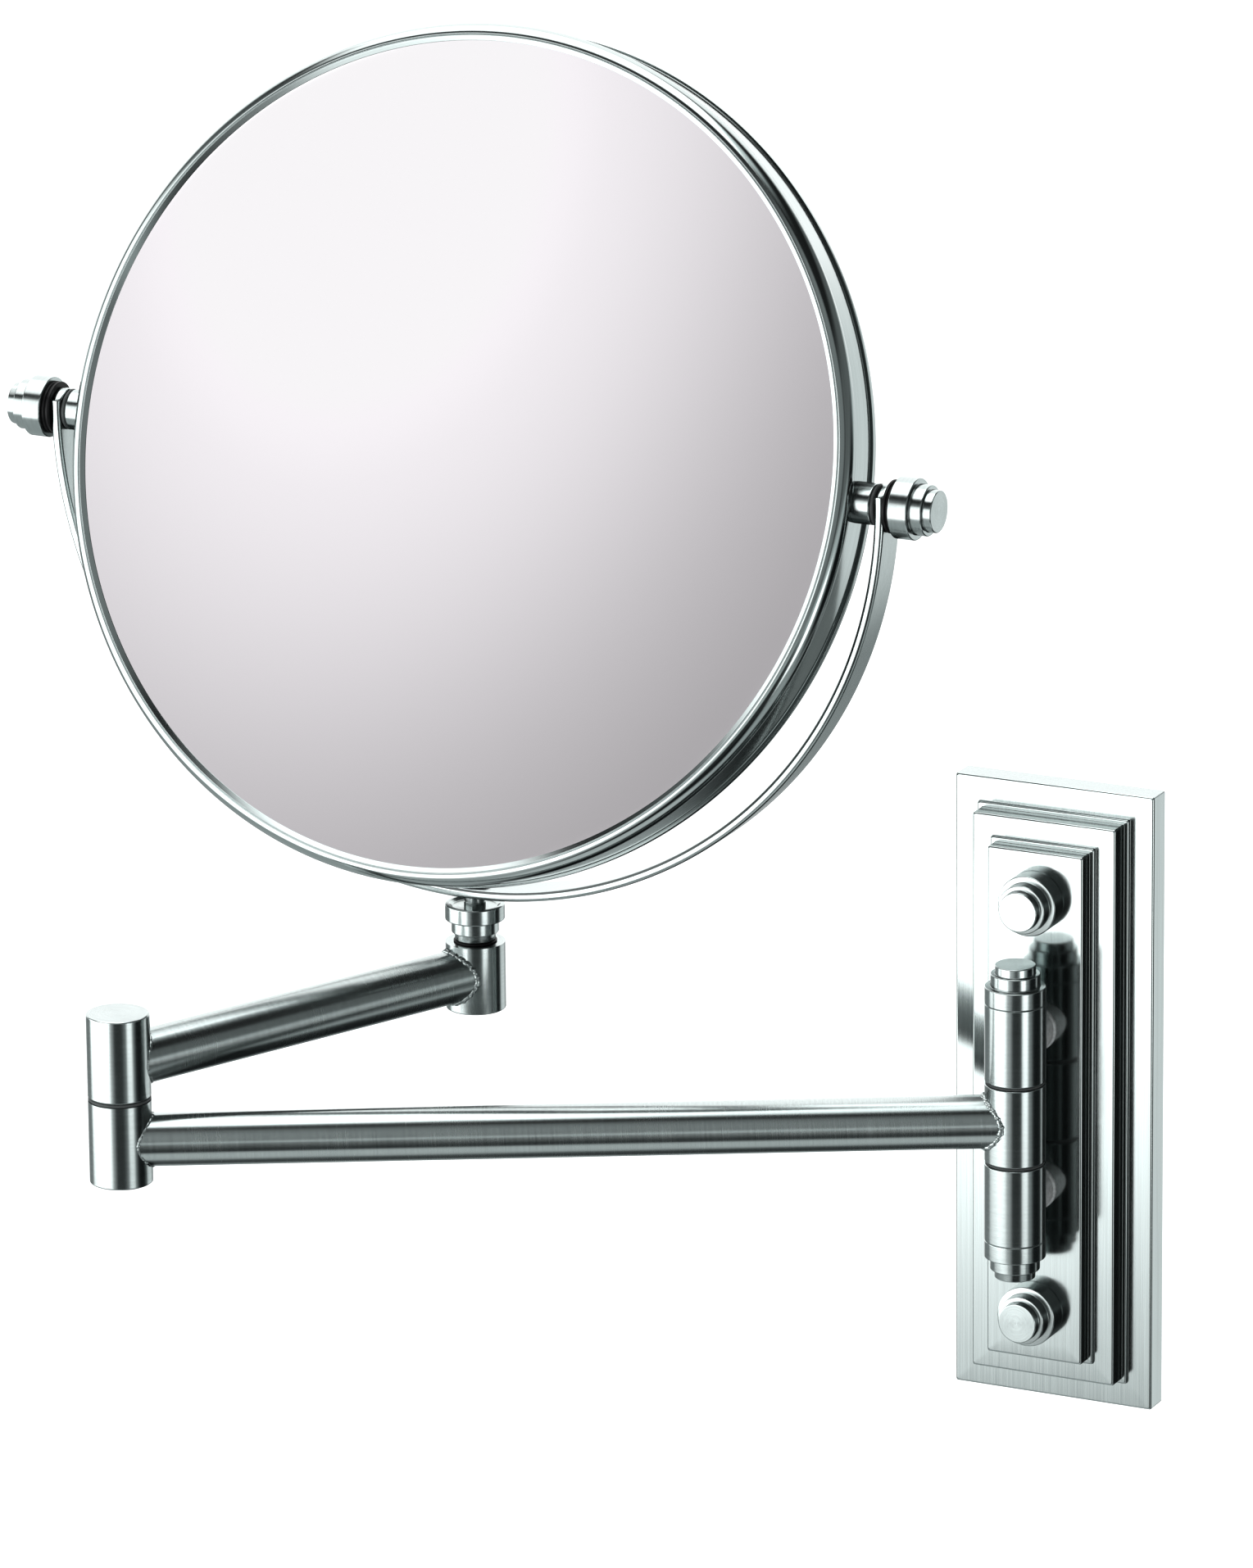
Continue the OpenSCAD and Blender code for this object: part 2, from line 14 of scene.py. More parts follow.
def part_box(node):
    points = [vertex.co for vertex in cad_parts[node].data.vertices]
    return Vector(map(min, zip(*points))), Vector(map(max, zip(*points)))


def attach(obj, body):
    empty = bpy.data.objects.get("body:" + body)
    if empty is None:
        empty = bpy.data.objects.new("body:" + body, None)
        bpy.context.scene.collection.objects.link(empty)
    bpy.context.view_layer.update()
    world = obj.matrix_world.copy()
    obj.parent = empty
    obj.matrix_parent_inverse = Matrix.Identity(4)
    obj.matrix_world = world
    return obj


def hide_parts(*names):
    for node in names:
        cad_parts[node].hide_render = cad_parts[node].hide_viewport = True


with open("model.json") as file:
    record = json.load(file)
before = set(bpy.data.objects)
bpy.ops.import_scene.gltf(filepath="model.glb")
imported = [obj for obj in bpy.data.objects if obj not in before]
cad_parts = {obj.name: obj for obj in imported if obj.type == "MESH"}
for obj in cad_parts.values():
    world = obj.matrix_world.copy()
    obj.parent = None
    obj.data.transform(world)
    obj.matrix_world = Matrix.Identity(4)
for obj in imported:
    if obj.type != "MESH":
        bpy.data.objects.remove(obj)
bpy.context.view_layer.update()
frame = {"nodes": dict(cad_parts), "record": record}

MM = 0.001
SAME_POINT = 1e-7                   # metres between vertices that are one
ON_AXIS = 1e-6                      # a smaller radius is a point on the axis


# ---------------------------------------------------------------- places taken from the CAD

def centre(node):
    low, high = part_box(node)
    return (low + high) / 2


def half_width(node):
    """Half of a node's size in X, in millimetres."""
    low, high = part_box(node)
    return (high.x - low.x) / 2 / MM


def height(node):
    """A node's size in Z, in millimetres."""
    low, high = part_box(node)
    return (high.z - low.z) / MM


def pair_places(node, reach, y):
    """Axis points, at one y, of the two solids that share a node and lie above each other."""
    low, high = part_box(node)
    x = (low.x + high.x) / 2
    return (("Upper", Vector((x, y, high.z - reach * MM))),
            ("Lower", Vector((x, y, low.z + reach * MM))))


UP = Vector((0, 0, 1))
DOWN = Vector((0, 0, -1))
OUT = Vector((0, -1, 0))            # out of the wall
HINGE = centre("hinge_pin")
ELBOW = centre("elbow_washer")
SWIVEL = centre("end_barrel")
TILT = centre("inner_pivot_washers")
LEAN = math.radians(18)             # the mirror's backward tilt in the rest pose
GLASS_NORMAL = Vector((0, -math.cos(LEAN), math.sin(LEAN)))
SIDES = {"left": Vector((-1, 0, 0)), "right": Vector((1, 0, 0))}


# ---------------------------------------------------------------- mesh tools

ARC_STEPS = 4                       # straight pieces of a rounded corner


def rounded(points):
    """Outline whose corners (a, b, radius) become arcs; a missing radius leaves the corner."""
    out = []
    for i, point in enumerate(points):
        here = Vector(point[:2])
        radius = point[2] if len(point) > 2 else 0
        if radius == 0 or i in (0, len(points) - 1):
            out.append(here)
            continue
        back = (Vector(points[i - 1][:2]) - here).normalized()
        on = (Vector(points[i + 1][:2]) - here).normalized()
        angle = back.angle(on)
        reach = radius / math.tan(angle / 2)
        middle = here + (back + on).normalized() * radius / math.sin(angle / 2)
        start = here + back * reach - middle
        end = here + on * reach - middle
        turn = math.atan2(start.x * end.y - start.y * end.x, start.dot(end))
        for k in range(ARC_STEPS + 1):
            a = turn * k / ARC_STEPS
            out.append(middle + Vector((start.x * math.cos(a) - start.y * math.sin(a),
                                        start.x * math.sin(a) + start.y * math.cos(a))))
    return out


def finish_mesh(name, bm, body, material, matrix=None, sharp=35):
    """Object with smooth faces, crisp edges over the given angle, riding on a body."""
    bmesh.ops.remove_doubles(bm, verts=bm.verts, dist=SAME_POINT)
    bmesh.ops.recalc_face_normals(bm, faces=bm.faces)
    mesh = bpy.data.meshes.new(name)
    bm.to_mesh(mesh)
    bm.free()
    mesh.shade_smooth()
    mesh.set_sharp_from_angle(angle=math.radians(sharp))
    mesh.materials.append(material)
    obj = bpy.data.objects.new(name, mesh)
    bpy.context.scene.collection.objects.link(obj)
    if matrix is not None:
        obj.matrix_world = matrix
    weighted = obj.modifiers.new("Even_shading", "WEIGHTED_NORMAL")
    weighted.keep_sharp = True
    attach(obj, body)
    return obj


def placed(at, axis):
    """Matrix that puts a local origin at a point with local +Z along an axis."""
    turn = UP.rotation_difference(axis) if axis != DOWN else Matrix.Rotation(
        math.pi, 3, "X").to_quaternion()
    return Matrix.Translation(at) @ turn.to_matrix().to_4x4()


def polar(bm, radius, angle, z):
    """Vertex at a radius, an angle in radians and a height."""
    return bm.verts.new((radius * math.cos(angle) * MM, radius * math.sin(angle) * MM, z * MM))


def skin(bm, rings, closed_ends=False):
    """Faces between successive rings of vertices; a ring of one vertex is a pole."""
    pairs = list(zip(rings, rings[1:]))
    if closed_ends:
        pairs.append((rings[-1], rings[0]))
    for a, b in pairs:
        n = max(len(a), len(b))
        for i in range(n):
            j = (i + 1) % n
            quad = [a[i % len(a)], a[j % len(a)], b[j % len(b)], b[i % len(b)]]
            corners = list(dict.fromkeys(quad))
            if len(corners) > 2:
                bm.faces.new(corners)


def turned(name, outline, at, axis, body, material, around=128, closed=False,
           socket=()):
    """Solid of revolution from (radius, height, fillet) points.

    Outline points whose index is in socket are drawn out into a hexagon.
    """
    flagged = {tuple(Vector(outline[i][:2])) for i in socket}
    bm = bmesh.new()
    rings = []
    for r, h in rounded(outline):
        if r < ON_AXIS:
            rings.append([bm.verts.new((0, 0, h * MM))])
            continue
        ring = []
        for k in range(around):
            a = math.tau * k / around
            reach = r
            if (r, h) in flagged:
                sector = (a + math.pi / 6) % (math.pi / 3) - math.pi / 6
                reach = r / math.cos(sector)
            ring.append(polar(bm, reach, a, h))
        rings.append(ring)
    skin(bm, rings, closed_ends=closed)
    return finish_mesh(name, bm, body, material, placed(at, axis))


def turned_upright(name, cad, at, outline, body, material, closed=False):
    """Turned piece on a vertical axis, on its CAD node's foot, that replaces the node."""
    foot = Vector((at.x, at.y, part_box(cad)[0].z))
    made = turned(name, outline, foot, UP, body, material, closed=closed)
    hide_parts(cad)


STEP_FILLET = 0.12                  # inner corners between tiers


def tier_outline(tiers, fillet):
    """Outline of stacked tiers (radius, height), from the axis at the base to the top."""
    points = [(0, 0), (tiers[0][0], 0, fillet)]
    z = 0.0
    for i, (radius, rise) in enumerate(tiers):
        z += rise
        points.append((radius, z, fillet))
        if i + 1 < len(tiers):
            points.append((tiers[i + 1][0], z, STEP_FILLET))
    points.append((0, z))
    return points


# ---------------------------------------------------------------- materials

BRUSH_LINE = 0.00014                # metres from one fine line to the next
BRUSH_STRETCH = 0.004               # how little a noise changes along the brush lines
BRUSH_DRIFT = 0.0004                # metres a line wanders round a turned part
BRUSH_DEPTH = 0.00002               # metres
BRUSH_RELIEF = 0.1
BRUSH_SPREAD = 0.03                 # of the roughness, to either side
BRUSH_TONES = ((0.36, 0.93), (0.64, 1.06))
FINE_SHARE = 0.7                    # of the brushing, the rest is broad streaks
BROAD_SCALE = 0.22                  # of the fine lines' frequency
SMUDGE_SCALE = 45.0
WEAR_SPAN = (0.7, 1.3)              # of brushing and smudges together
GRAIN_TONES = ((0.35, 0.88), (0.65, 1.12))
GRAIN_SPREAD = 0.08
SMOOTHEST = 0.02                    # least roughness


def new_material(name):
    material = bpy.data.materials.new(name)
    material.use_nodes = True
    tree = material.node_tree
    return material, tree, tree.nodes["Principled BSDF"]


def node(tree, kind, **values):
    made = tree.nodes.new(kind)
    for key, value in values.items():
        if hasattr(made, key):
            setattr(made, key, value)
        else:
            made.inputs[key.replace("_", " ")].default_value = value
    return made


def map_range(tree, value, span, result, **kind):
    """Output that goes between the two results as a value goes over its span."""
    made = node(tree, "ShaderNodeMapRange", **kind)
    made.inputs["From Min"].default_value, made.inputs["From Max"].default_value = span
    made.inputs["To Min"].default_value, made.inputs["To Max"].default_value = result
    tree.links.new(value, made.inputs["Value"])
    return made.outputs["Result"]


def object_noise(tree, **values):
    """Noise in the object's own coordinates."""
    coord = node(tree, "ShaderNodeTexCoord")
    made = node(tree, "ShaderNodeTexNoise", **values)
    tree.links.new(coord.outputs["Object"], made.inputs["Vector"])
    return made.outputs["Fac"]


def fill_ramp(ramp, stops, tint):
    """Put (place, level) stops on a ramp, each its level times the tint."""
    while len(ramp.elements) < len(stops):
        ramp.elements.new(0.5)
    for element, (place, level) in zip(ramp.elements, stops):
        element.position = place
        element.color = (*[level * part for part in tint], 1)


def tone_ramp(tree, shader, factor, colour, stops):
    """Base colour that goes between shades of a colour."""
    tone = node(tree, "ShaderNodeValToRGB")
    fill_ramp(tone.color_ramp, stops, colour)
    tree.links.new(factor, tone.inputs["Fac"])
    tree.links.new(tone.outputs["Color"], shader.inputs["Base Color"])


def rough_range(tree, shader, level, span, middle, spread):
    """Roughness that goes to either side of its middle as a level goes over its span."""
    rough = map_range(tree, level, span, (max(SMOOTHEST, middle - spread), middle + spread))
    tree.links.new(rough, shader.inputs["Roughness"])


def relief_bump(tree, shader, level, strength, depth):
    bump = node(tree, "ShaderNodeBump", Strength=strength, Distance=depth)
    tree.links.new(level, bump.inputs["Height"])
    tree.links.new(bump.outputs["Normal"], shader.inputs["Normal"])


def axis_coordinates(tree, grain):
    """Object coordinates stretched so that a noise turns into brush lines.

    'along' runs the lines along local Z; 'around' runs them round local Z.
    """
    coord = node(tree, "ShaderNodeTexCoord")
    if grain == "along":
        scale = node(tree, "ShaderNodeVectorMath", operation="MULTIPLY")
        scale.inputs[1].default_value = (1, 1, BRUSH_STRETCH)
        tree.links.new(coord.outputs["Object"], scale.inputs[0])
        return scale.outputs[0]
    split = node(tree, "ShaderNodeSeparateXYZ")
    tree.links.new(coord.outputs["Object"], split.inputs[0])
    flat = node(tree, "ShaderNodeCombineXYZ")
    tree.links.new(split.outputs["X"], flat.inputs["X"])
    tree.links.new(split.outputs["Y"], flat.inputs["Y"])
    radius = node(tree, "ShaderNodeVectorMath", operation="LENGTH")
    tree.links.new(flat.outputs[0], radius.inputs[0])
    direction = node(tree, "ShaderNodeVectorMath", operation="NORMALIZE")
    tree.links.new(flat.outputs[0], direction.inputs[0])
    drift = node(tree, "ShaderNodeVectorMath", operation="SCALE", Scale=BRUSH_DRIFT)
    tree.links.new(direction.outputs[0], drift.inputs[0])
    rings = node(tree, "ShaderNodeCombineXYZ")
    tree.links.new(radius.outputs["Value"], rings.inputs["X"])
    tree.links.new(split.outputs["Z"], rings.inputs["Y"])
    both = node(tree, "ShaderNodeVectorMath", operation="ADD")
    tree.links.new(rings.outputs[0], both.inputs[0])
    tree.links.new(drift.outputs[0], both.inputs[1])
    return both.outputs[0]


def brushed_metal(name, colour, roughness, grain, stretch=0.0):
    """Metal with fine brush lines in its colour, roughness and relief, and faint smudges."""
    material, tree, shader = new_material(name)
    vector = axis_coordinates(tree, grain)
    fine = node(tree, "ShaderNodeTexNoise", Scale=1 / BRUSH_LINE, Detail=3.0,
                Roughness=0.6)
    tree.links.new(vector, fine.inputs["Vector"])
    broad = node(tree, "ShaderNodeTexNoise", Scale=BROAD_SCALE / BRUSH_LINE, Detail=2.0)
    tree.links.new(vector, broad.inputs["Vector"])
    smudge = object_noise(tree, Scale=SMUDGE_SCALE, Detail=3.0)

    streak = node(tree, "ShaderNodeMath", operation="MULTIPLY_ADD")
    streak.inputs[1].default_value = FINE_SHARE
    tree.links.new(fine.outputs["Fac"], streak.inputs[0])
    rest = node(tree, "ShaderNodeMath", operation="MULTIPLY")
    rest.inputs[1].default_value = 1 - FINE_SHARE
    tree.links.new(broad.outputs["Fac"], rest.inputs[0])
    tree.links.new(rest.outputs[0], streak.inputs[2])
    tone_ramp(tree, shader, streak.outputs[0], colour, BRUSH_TONES)

    wear = node(tree, "ShaderNodeMath", operation="ADD")
    tree.links.new(streak.outputs[0], wear.inputs[0])
    tree.links.new(smudge, wear.inputs[1])
    rough_range(tree, shader, wear.outputs[0], WEAR_SPAN, roughness, BRUSH_SPREAD)
    relief_bump(tree, shader, streak.outputs[0], BRUSH_RELIEF, BRUSH_DEPTH)
    shader.inputs["Metallic"].default_value = 1.0
    if stretch:
        tangent = node(tree, "ShaderNodeTangent", direction_type="RADIAL", axis="Z")
        tree.links.new(tangent.outputs[0], shader.inputs["Tangent"])
        shader.inputs["Anisotropic"].default_value = stretch
        shader.inputs["Anisotropic Rotation"].default_value = 0.25
    return material


def grainy(name, colour, roughness, size, relief, metallic=0.0):
    """Moulded, sintered, plated or foamed surface: fine mottling in colour and relief."""
    material, tree, shader = new_material(name)
    mottle = object_noise(tree, Scale=1 / size, Detail=4.0, Roughness=0.6)
    tone_ramp(tree, shader, mottle, colour, GRAIN_TONES)
    rough_range(tree, shader, mottle, (0, 1), roughness, GRAIN_SPREAD)
    relief_bump(tree, shader, mottle, relief, size / 4)
    shader.inputs["Metallic"].default_value = metallic
    return material


def silvered_glass(name, tint):
    """Silvered glass: a clean mirror with the faintest haze of polish in its roughness."""
    material, tree, shader = new_material(name)
    haze = object_noise(tree, Scale=30.0, Detail=2.0)
    tree.links.new(map_range(tree, haze, (0, 1), (0.012, 0.03)), shader.inputs["Roughness"])
    shader.inputs["Base Color"].default_value = (*tint, 1)
    shader.inputs["Metallic"].default_value = 1.0
    return material


NICKEL = (0.66, 0.715, 0.71)
PLATE = brushed_metal("Plate_nickel", NICKEL, 0.14, "along")
TURNED = brushed_metal("Turned_nickel", NICKEL, 0.2, "around", stretch=0.6)
TUBE = brushed_metal("Tube_nickel", NICKEL, 0.26, "around", stretch=0.85)
RIM = brushed_metal("Rim_nickel", NICKEL, 0.13, "around")
YOKE = brushed_metal("Yoke_nickel", NICKEL, 0.19, "along")
PIN = brushed_metal("Pin_steel", (0.6, 0.61, 0.62), 0.25, "around")
POST = grainy("Post_satin", (0.8, 0.82, 0.82), 0.42, 0.0009, 0.25, metallic=0.55)
WELD = grainy("Weld_nickel", NICKEL, 0.22, 0.0009, 0.5, metallic=1.0)
ZINC = grainy("Zinc_steel", (0.62, 0.64, 0.68), 0.34, 0.0012, 0.25, metallic=1.0)
BRONZE = grainy("Bronze_bush", (0.72, 0.5, 0.26), 0.4, 0.0003, 0.3, metallic=1.0)
NYLON = grainy("Grey_nylon", (0.09, 0.1, 0.1), 0.42, 0.0004, 0.1)
RUBBER = grainy("Black_rubber", (0.012, 0.012, 0.013), 0.38, 0.0004, 0.12)
FOAM = grainy("Pad_foam", (0.74, 0.71, 0.63), 0.9, 0.0008, 0.8)
FRONT_SILVER = silvered_glass("Plain_mirror", (0.945, 0.93, 0.945))
REAR_SILVER = silvered_glass("Magnifying_mirror", (0.93, 0.94, 0.94))

CAD_LOOKS = {
    "turned_nickel": TURNED, "tube_nickel": TUBE, "rim_nickel": RIM, "plate_nickel": PLATE,
    "pin_steel": PIN, "zinc_steel": ZINC, "bronze_bush": BRONZE, "grey_nylon": NYLON,
    "black_rubber": RUBBER, "plain_mirror": FRONT_SILVER, "magnifying_mirror": REAR_SILVER,
    "pad_foam": FOAM,
}
for part in frame["record"]["subparts"]:
    carried = frame["nodes"][part["node"]]
    carried.data.materials.clear()
    carried.data.materials.append(CAD_LOOKS[part["material_slot"]])


# ---------------------------------------------------------------- wall plate

PLATE_STEPS = (7.1, 6.1)            # widths of the two shoulders
PLATE_RISE = (6.5, 6.2, 5.1)        # heights of the three tiers
PLATE_WALL = 1.8
PLATE_CORNER = 0.5                  # upright corners
PLATE_EDGE = 0.55                   # fillet of each tier's front edge
BEAD_W, BEAD_H = 1.1, 1.0           # bead at each upper tier's foot
BEAD_EDGE = 0.45
BEAD_CREASE = 0.1                   # where the tier rises from its bead
FACE_REACH = 4                      # how far the front face's last ring lies inside its edge


def plate_loop(bm, half_w, half_h, inset, depth):
    """Rounded rectangle of vertices, inset from the plate's outline."""
    w = half_w - inset
    h = half_h - inset
    ring = []
    for cx, cz, first in ((w, h, 0), (-w, h, 90), (-w, -h, 180), (w, -h, 270)):
        for k in range(ARC_STEPS + 1):
            a = math.radians(first + 90 * k / ARC_STEPS)
            x = cx - math.copysign(PLATE_CORNER, cx) + PLATE_CORNER * math.cos(a)
            z = cz - math.copysign(PLATE_CORNER, cz) + PLATE_CORNER * math.sin(a)
            ring.append(bm.verts.new((x * MM, -depth * MM, z * MM)))
    return ring


def build_plate():
    """Hollow cover in three tiers, from its wall edge over the front and back inside."""
    half_w = half_width("wall_plate")
    half_h = height("wall_plate") / 2
    outside = [(0, 0)]
    inside = [(PLATE_WALL, 0)]
    foot = top = 0
    for step, rise in zip((0, *PLATE_STEPS), PLATE_RISE):
        if step:
            foot += step
            outside += [(foot - BEAD_W, top, STEP_FILLET),
                        (foot - BEAD_W, top + BEAD_H, BEAD_EDGE),
                        (foot, top + BEAD_H, BEAD_CREASE)]
            inside.append((foot + PLATE_WALL, top - PLATE_WALL))
        top += rise
        outside.append((foot, top, PLATE_EDGE))
        inside.append((foot + PLATE_WALL, top - PLATE_WALL))
    outside.append((foot + FACE_REACH, top))
    bm = bmesh.new()
    front = [plate_loop(bm, half_w, half_h, i, d) for i, d in rounded(outside)]
    back = [plate_loop(bm, half_w, half_h, i, d) for i, d in inside]
    skin(bm, back[::-1] + front)
    bm.faces.new(front[-1])
    bm.faces.new(back[-1])
    shell = finish_mesh("Plate_shell", bm, "root", PLATE)
    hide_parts("wall_plate")


build_plate()


# ---------------------------------------------------------------- turned parts on the wall

NUT_TIERS = ((7.35, 5.0), (5.9, 3.1), (4.83, 2.1))
FINIAL_TIERS = ((7.3, 4.2), (5.9, 3.1), (4.83, 2.1))
KNOB_TIERS = ((7.3, 4.8), (6.0, 3.1), (5.0, 2.1))
SOFT_EDGE = 0.26
PIN_BORE = 3.02                     # radius in the fixed knuckles
BUSH_BORE = 4.52                    # radius in the arm's own barrel
POST_BITE = 0.4                     # how far the posts reach into the knuckles
FLARE_W = 0.35                      # flare at the posts' plate ends
FLARE_EDGE = 0.5
FLARE_END = 1.1
FLARE_FILLET = 0.3

# Screws: head radius, head height, shank radius
POST_SCREW = (3.8, 2.4, 2.0)
ELBOW_SCREW = (3.9, 2.2, 2.0)
STEM_SCREW = (3.4, 1.8, 1.5)
YOKE_SCREW = (4.2, 1.4, 1.5)
SCREW_CROWN = 0.62                  # shares of the head's radius
SCREW_SOCKET = 0.42
SCREW_BRIM = 0.55                   # shares of the head's height
SCREW_DOME = 0.4
SOCKET_EDGE = 0.35
SOCKET_FLOOR = 0.3


def build_nuts():
    plate_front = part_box("wall_plate")[0].y
    nuts = [turned(f"{label}_cap_nut", tier_outline(NUT_TIERS, SOFT_EDGE), seat, OUT, "root",
                   TURNED)
            for label, seat in pair_places("cap_nuts", half_width("cap_nuts"), plate_front)]
    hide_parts("cap_nuts")


def build_barrel(name, cad, body, bore):
    """Upright barrel, open at both ends, that replaces a CAD one."""
    radius = half_width(cad)
    tall = height(cad)
    outline = [(bore, 0), (radius, 0, SOFT_EDGE), (radius, tall, SOFT_EDGE), (bore, tall)]
    turned_upright(name, cad, centre(cad), outline, body, TURNED, closed=True)


def build_wall_hinge():
    build_barrel("Upper_knuckle", "upper_knuckle", "root", PIN_BORE)
    build_barrel("Lower_knuckle", "lower_knuckle", "root", PIN_BORE)
    build_barrel("Wall_barrel", "wall_barrel", "lower_arm", BUSH_BORE)
    for label, axis in (("Upper", UP), ("Lower", DOWN)):
        low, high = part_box(f"{label.lower()}_finial")
        seat = Vector((HINGE.x, HINGE.y, low.z if label == "Upper" else high.z))
        made = turned(f"{label}_finial", tier_outline(FINIAL_TIERS, SOFT_EDGE), seat, axis,
                      "root", TURNED)
        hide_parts(f"{label.lower()}_finial")


def build_posts():
    """Posts with a small flare where they sit on the plate."""
    low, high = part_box("standoff_posts")
    radius = half_width("standoff_posts")
    neck = radius - FLARE_W
    length = (high.y - low.y) / MM + POST_BITE
    outline = [(0, 0), (radius, 0), (radius, FLARE_EDGE, FLARE_FILLET),
               (neck, FLARE_END, FLARE_FILLET), (neck, length), (0, length)]
    posts = [turned(f"{label}_post", outline, at, OUT, "root", POST)
             for label, at in pair_places("standoff_posts", radius, high.y)]
    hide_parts("standoff_posts")


def build_screw(name, at, axis, body, size, shank):
    """Domed screw with a hexagon socket; local +Z points out of the head."""
    head_r, head_h, shank_r = size
    socket_r = head_r * SCREW_SOCKET
    outline = [(0, -shank), (shank_r, -shank, 0.3), (shank_r, 0), (head_r, 0, 0.15),
               (head_r, head_h * SCREW_BRIM, head_h * SCREW_DOME),
               (head_r * SCREW_CROWN, head_h, 0.1), (socket_r, head_h),
               (socket_r, head_h * SOCKET_EDGE), (0, head_h * SOCKET_FLOOR)]
    return turned(name, outline, at, axis, body, ZINC, around=72, socket=(6, 7))


def build_upright_screw(name, cad, at, axis, body, size):
    """Screw on a vertical axis, its head at its CAD node's top or foot."""
    low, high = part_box(cad)
    if axis == UP:
        seat = high.z - size[1] * MM
        shank = (seat - low.z) / MM
    else:
        seat = low.z + size[1] * MM
        shank = (high.z - seat) / MM
    made = build_screw(name, Vector((at.x, at.y, seat)), axis, body, size, shank)
    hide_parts(cad)


def build_post_screws():
    """Screws from behind the plate into the posts."""
    low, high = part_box("post_screws")
    head_r, head_h = POST_SCREW[:2]
    seat = high.y - head_h * MM
    screws = [build_screw(f"{label}_post_screw", at, -OUT, "root", POST_SCREW,
                          (seat - low.y) / MM)
              for label, at in pair_places("post_screws", head_r, seat)]
    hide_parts("post_screws")


build_nuts()
build_wall_hinge()
build_posts()
build_post_screws()


# ---------------------------------------------------------------- arms

TUBE_R = 6.35
TUBE_INNER = 5.15
TUBE_BITE = 0.02                    # how far a coped end reaches into its barrel
TUBE_AROUND = 144
TUBE_ROWS = 12
ELBOW_RISE = 7.9                    # upper tube's axis over the foot of its elbow barrel
END_DROP = 7.7                      # and under the end barrel's top

WELD_R = 0.75
END_WELD_R = 0.85
ELBOW_WELD_R = 0.4
WELD_AROUND = 260
WELD_SECTION = 12
WELD_FLAT = 0.72                    # its height as a share of its width
WELD_SINK = 0.1                     # of its middle into the tube
WELD_OFF = 0.12                     # of its middle from the joint's own line
WELD_RIPPLES = ((0.16, 23, 1), (0.12, 41, 2), (0.10, 7, -1), (0.07, 67, 0))
WIDTH_RIPPLE = (0.1, 31)            # share of the size, waves in a turn

RECESS_EDGE = 0.2
ELBOW_BUSH_BORE = 4.72
ELBOW_RECESS = (5.2, 4.2)           # radius and height, for the screw from below
ELBOW_PIN_R = 3.52
ELBOW_PIN_TOP = 16.5
END_BUSH_BORE = 3.92
END_RECESS = (4.9, 3.6)


def saddle(angle, tube_r, barrel_r, climb):
    """Distance along the tube where it meets an upright barrel, at an angle round the tube.

    climb is the sine of the tube's rise, negated for the barrel at its far end.
    """
    level = math.sqrt(barrel_r ** 2 - (tube_r * math.cos(angle)) ** 2)
    return (level + tube_r * math.sin(angle) * climb) / math.sqrt(1 - climb ** 2)


def build_tube(name, cad, start, end, start_r, end_r, body):
    """Coped tube between two barrels; local +Z runs along it. Returns its matrix and length."""
    run = end - start
    length = run.length / MM
    along = run.normalized()
    bm = bmesh.new()
    rings = []
    for r, rows in ((TUBE_R, range(TUBE_ROWS + 1)), (TUBE_INNER, range(TUBE_ROWS, -1, -1))):
        for t in rows:
            ring = []
            for k in range(TUBE_AROUND):
                a = math.tau * k / TUBE_AROUND
                near = saddle(a, r, start_r, along.z) - TUBE_BITE
                far = length - saddle(a, r, end_r, -along.z) + TUBE_BITE
                ring.append(polar(bm, r, a, near + (far - near) * t / TUBE_ROWS))
            rings.append(ring)
    skin(bm, rings, closed_ends=True)
    side = Vector((-along.y, along.x, 0)).normalized()
    matrix = Matrix.Translation(start) @ Matrix(
        (side, along.cross(side), along)).transposed().to_4x4()
    made = finish_mesh(name, bm, body, TUBE, matrix)
    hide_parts(cad)
    return matrix, length


def build_weld(name, tube, at_end, barrel_r, body, bead, phase):
    """Irregular bead along the line where a tube meets a barrel."""
    matrix, length = tube
    climb = matrix[2][2]
    swing, waves = WIDTH_RIPPLE
    bm = bmesh.new()
    rings = []
    for k in range(WELD_AROUND):
        a = math.tau * k / WELD_AROUND
        size = bead * (1 + sum(share * math.sin(count * a + shift * phase)
                               for share, count, shift in WELD_RIPPLES))
        width = size * (1 + swing * math.sin(waves * a))
        joint = saddle(a, TUBE_R, barrel_r, -climb if at_end else climb)
        ring = []
        for s in range(WELD_SECTION):
            b = math.tau * s / WELD_SECTION
            r = TUBE_R - WELD_SINK + WELD_FLAT * size * math.sin(b)
            h = joint + WELD_OFF + width * math.cos(b)
            ring.append(polar(bm, r, a, length - h if at_end else h))
        rings.append(ring)
    skin(bm, rings, closed_ends=True)
    finish_mesh(name, bm, body, WELD, matrix, sharp=80)


def recessed_barrel(name, cad, at, bore, recess, edge, body):
    """Barrel with a bush bore from above and a wider recess from below."""
    radius = half_width(cad)
    tall = height(cad)
    wide, deep = recess
    outline = [(bore, tall), (bore, deep), (wide, deep), (wide, 0, RECESS_EDGE),
               (radius, 0, edge), (radius, tall)]
    turned_upright(name, cad, at, outline, body, TURNED, closed=True)


